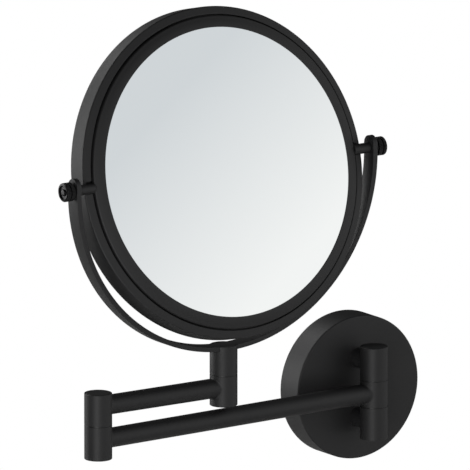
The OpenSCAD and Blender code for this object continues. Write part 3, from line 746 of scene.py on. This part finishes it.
def back_cover():
    """The back cover: a flat disc with a shallow pressed bead inside its rim."""
    bead, bend, inside = COVER_R - COVER_BEAD_IN, 2 * MM, DRUM_BACK + COVER_T
    profile = rounded([
        (0, DRUM_BACK + COVER_BEAD_H, 0), (bead - 3 * MM, DRUM_BACK + COVER_BEAD_H, bend),
        (bead, DRUM_BACK, bend), (COVER_R, DRUM_BACK, 0.4 * MM), (COVER_R, inside, 0),
        (0, inside, 0)], closed=False)
    shape = lathe(profile, HEAD, segments=240)
    new_piece("back_cover_pressed", *shape, "black_coat", "head", ["back_cover"])


def pivots():
    """The studs between bezel and yoke, and the turned clamp knobs outside it."""
    for side, name in ((-1, "left"), (1, "right")):
        node = "pivot_stud_" + name
        place = axes(TILT, (side, 0, 0), UP)
        start, end = sorted(abs(np.array([low(node)[0], high(node)[0]]) - TILT[0]))
        seat, shoulder, tip_edge = BEZEL_OUT_R - 0.15 * MM, BAND_IN_R - 0.3 * MM, 0.3 * MM
        journal_end = BAND_OUT_R + 0.3 * MM
        profile = rounded([
            (0, start, 0), (STUD_TIP_R, start, tip_edge), (STUD_TIP_R, seat, 0),
            (STUD_R, seat, 0.1 * MM), (STUD_R, shoulder, 0.35 * MM),
            (STUD_JOURNAL_R, shoulder, 0), (STUD_JOURNAL_R, journal_end, 0),
            (STUD_TIP_R, journal_end, 0), (STUD_TIP_R, end, tip_edge), (0, end, 0)], closed=False)
        shape = lathe(profile, place, segments=64)
        new_piece(f"stud_{name}_turned", *shape, "black_coat", "head", [node])
        knob(name, place)


# The clamp knob: its sizes, and the teeth of its knurl.
KNOB_NECK_R, KNOB_NECK_L = 4.6 * MM, 1.2 * MM
KNOB_BORE, KNOB_BORE_END = STUD_TIP_R + 0.05 * MM, 1.5 * MM
KNOB_GROOVE_AT, KNOB_GROOVE_DEEP = 3.2 * MM, 0.7 * MM
KNURL_H, KNURL_TEETH, STEPS_PER_TOOTH = 0.28 * MM, 36, 6
KNOB_RIM_OUT, KNOB_RIM_IN, KNOB_DISH = 4.9 * MM, 4.6 * MM, 1.2 * MM
KNOB_DOME_FOOT, KNOB_DOME_TOP = 2.4 * MM, 2.1 * MM


def knob(name, place):
    """A clamp knob: a plain neck, a straight-knurled head with a turned groove round its
    middle, and a dished outer face with a domed middle. The knurl swells the head's rim by
    k |cos(n t / 2)| in n teeth."""
    node = "knob_" + name
    z0 = min(abs(np.array([low(node)[0], high(node)[0]]) - TILT[0]))
    end, head = z0 + KNOB_L, z0 + KNOB_NECK_L
    root = KNOB_R - KNURL_H
    groove, floor_r = head + KNOB_GROOVE_AT, root - KNOB_GROOVE_DEEP
    profile = rounded([
        (0, end - KNOB_BORE_END, 0), (KNOB_BORE, end - KNOB_BORE_END, 0), (KNOB_BORE, z0, 0),
        (KNOB_NECK_R, z0, 0.25 * MM), (KNOB_NECK_R, head, 0.3 * MM), (root, head, 0.5 * MM),
        (root, groove - 0.5 * MM, 0.15 * MM), (floor_r, groove - 0.3 * MM, 0.1 * MM),
        (floor_r, groove + 0.3 * MM, 0.1 * MM), (root, groove + 0.5 * MM, 0.15 * MM),
        (root, end - 0.5 * MM, 0.55 * MM), (KNOB_RIM_OUT, end - 0.15 * MM, 0.1 * MM),
        (KNOB_RIM_IN, end - KNOB_DISH, 0.15 * MM), (KNOB_DOME_FOOT, end - KNOB_DISH, 0.2 * MM),
        (KNOB_DOME_TOP, end - 0.1 * MM, 0.5 * MM), (0, end, 0)], closed=False)
    t = np.linspace(0, TAU, KNURL_TEETH * STEPS_PER_TOOTH, endpoint=False)
    points, faces = lathe(profile, (np.zeros(3), np.eye(3)), angles=t)
    r = np.hypot(points[:, 0], points[:, 1])
    turn = np.arctan2(points[:, 1], points[:, 0])
    start = KNOB_NECK_R + 0.5 * MM
    rim = np.clip((r - start) / (root - start), 0, 1) ** 4
    swell = rim * KNURL_H * np.abs(np.cos(KNURL_TEETH * turn / 2)) / np.maximum(r, MM)
    points[:, :2] *= (1 + swell)[:, None]
    new_piece(f"knob_{name}_turned", put(points, place), faces, "black_oxide",
              "knob_" + name[0], [node], sharp=50)


rosette_cover()
wall_hinge()
arms()
yoke_band()
swivel_post()
head_drum()
bezel_ring()
glass()
back_cover()
pivots()

# ---- the finish of every piece that keeps its CAD shape ---------------------

for entry in frame["record"]["subparts"]:
    kept = frame["nodes"][entry["node"]]
    if kept.data.materials:
        kept.material_slots[0].material = FINISH[entry["material_slot"]]
    else:
        kept.data.materials.append(FINISH[entry["material_slot"]])

# ---- floor, light and background --------------------------------------------


FLOOR_R, FLOOR_Z = 1.3, -0.45
CARD_AWAY, CARD_HALF = 1.1, 0.3   # from the tilt axis, and half the card's side
CARD_SLANT = 1.64                 # how much more the card's tone changes down than across
CARD_DARK, CARD_LIGHT = -0.13, 0.153
AIM = (-0.13, -0.05, 0.1)
SOFTBOXES = (                     # name, place, width, height, watts
    ("softbox_front_left", (-1.7, -1.5, -0.25), 0.9, 1.9, 24),
    ("softbox_back_left", (-1.35, 1.8, 0.3), 1.2, 1.4, 19),
    ("softbox_back", (-0.42, 1.6, 1.3), 0.9, 0.6, 9),
)


def floor():
    """A plain pale floor, well below the object: a disc of 96 sides."""
    t = np.linspace(0, TAU, 96, endpoint=False)
    points = np.stack([FLOOR_R * np.cos(t), FLOOR_R * np.sin(t), FLOOR_Z + 0 * t], -1)
    mesh = bpy.data.meshes.new("floor")
    mesh.from_pydata(points.tolist(), [], [list(range(len(t)))])
    material, tree, out = new_material("pale_floor")
    shader = add(tree, "ShaderNodeBsdfPrincipled",
                 {"Base Color": linear("#f2f2f0"), "Roughness": 0.8})
    tree.links.new(shader.outputs[0], out.inputs["Surface"])
    mesh.materials.append(material)
    piece = bpy.data.objects.new("floor", mesh)
    bpy.context.scene.collection.objects.link(piece)


def softbox(name, place, width, height, power):
    """A rectangular area light that faces the middle of the object."""
    data = bpy.data.lights.new(name, "AREA")
    data.shape, data.size, data.size_y, data.energy = "RECTANGLE", width, height, power
    light = bpy.data.objects.new(name, data)
    light.location = place
    light.rotation_euler = (Vector(AIM) - Vector(place)).to_track_quat("-Z", "Y").to_euler()
    bpy.context.scene.collection.objects.link(light)
    light.visible_camera = False


def reflection_card():
    """A grey card that only the mirror sees, right and in front of it: darker at its
    top left and lighter at its bottom right."""
    a, e = VIEW_AZIMUTH, VIEW_ELEVATION
    look = -np.array([math.sin(a) * math.cos(e), -math.cos(a) * math.cos(e), math.sin(e)])
    bounce = look - 2 * (look @ NORMAL) * NORMAL
    centre = TILT + bounce * CARD_AWAY
    side = np.cross(UP, bounce)
    side /= np.linalg.norm(side)
    top = np.cross(bounce, side)
    corners = [centre + CARD_HALF * (side * i + top * j)
               for i, j in ((-1, -1), (1, -1), (1, 1), (-1, 1))]
    mesh = bpy.data.meshes.new("reflection_card")
    mesh.from_pydata([tuple(c) for c in corners], [], [(0, 1, 2, 3)])
    material, tree, out = new_material("grey_card")
    place = add(tree, "ShaderNodeTexCoord").outputs["Object"]
    across = side - top * CARD_SLANT
    dot = add(tree, "ShaderNodeVectorMath", {0: place, 1: tuple(across)}, operation="DOT_PRODUCT")
    middle = float(centre @ across)
    ramp = add(tree, "ShaderNodeMapRange",
               {"Value": dot.outputs["Value"], "From Min": middle + CARD_DARK,
                "From Max": middle + CARD_LIGHT, "To Min": 0.0, "To Max": 1.0})
    tone = add(tree, "ShaderNodeMix",
               {"Factor": ramp.outputs[0], "A": linear("#dadcdf"), "B": linear("#fefcfb")},
               data_type="RGBA")
    glow = add(tree, "ShaderNodeEmission", {"Color": tone.outputs[2], "Strength": 1.0})
    tree.links.new(glow.outputs[0], out.inputs["Surface"])
    mesh.materials.append(material)
    card = bpy.data.objects.new("reflection_card", mesh)
    bpy.context.scene.collection.objects.link(card)
    card.visible_camera = False
    card.visible_shadow = False
    card.visible_diffuse = False


def world():
    """White to the camera. To everything else a dim room: brighter to the right, and
    dark overhead and behind the wall."""
    w = bpy.data.worlds.new("studio")
    bpy.context.scene.world = w
    w.use_nodes = True
    tree = w.node_tree
    tree.nodes.clear()
    way = add(tree, "ShaderNodeSeparateXYZ",
              {0: add(tree, "ShaderNodeTexCoord").outputs["Generated"]})

    def graded(axis, start, end, first, last):
        """A brightness that changes smoothly along one axis of the direction."""
        return add(tree, "ShaderNodeMapRange",
                   {"Value": way.outputs[axis], "From Min": start, "From Max": end,
                    "To Min": first, "To Max": last}, interpolation_type="SMOOTHSTEP").outputs[0]

    level = graded("X", -1.0, 0.6, 0.1, 0.68)
    for fall in (graded("Z", 0.35, 0.95, 1.0, 0.03), graded("Y", -0.3, 0.6, 1.0, 0.05)):
        level = add(tree, "ShaderNodeMath", {0: level, 1: fall}, operation="MULTIPLY").outputs[0]
    room = add(tree, "ShaderNodeBackground", {"Color": (1, 1, 1, 1), "Strength": level})
    white = add(tree, "ShaderNodeBackground", {"Color": (1, 1, 1, 1), "Strength": 1.0})
    seen = add(tree, "ShaderNodeLightPath").outputs["Is Camera Ray"]
    mix = add(tree, "ShaderNodeMixShader", {0: seen, 1: room.outputs[0], 2: white.outputs[0]})
    add(tree, "ShaderNodeOutputWorld", {"Surface": mix.outputs[0]})


bpy.context.scene.view_settings.view_transform = "Standard"
floor()
world()
reflection_card()
for box in SOFTBOXES:
    softbox(*box)
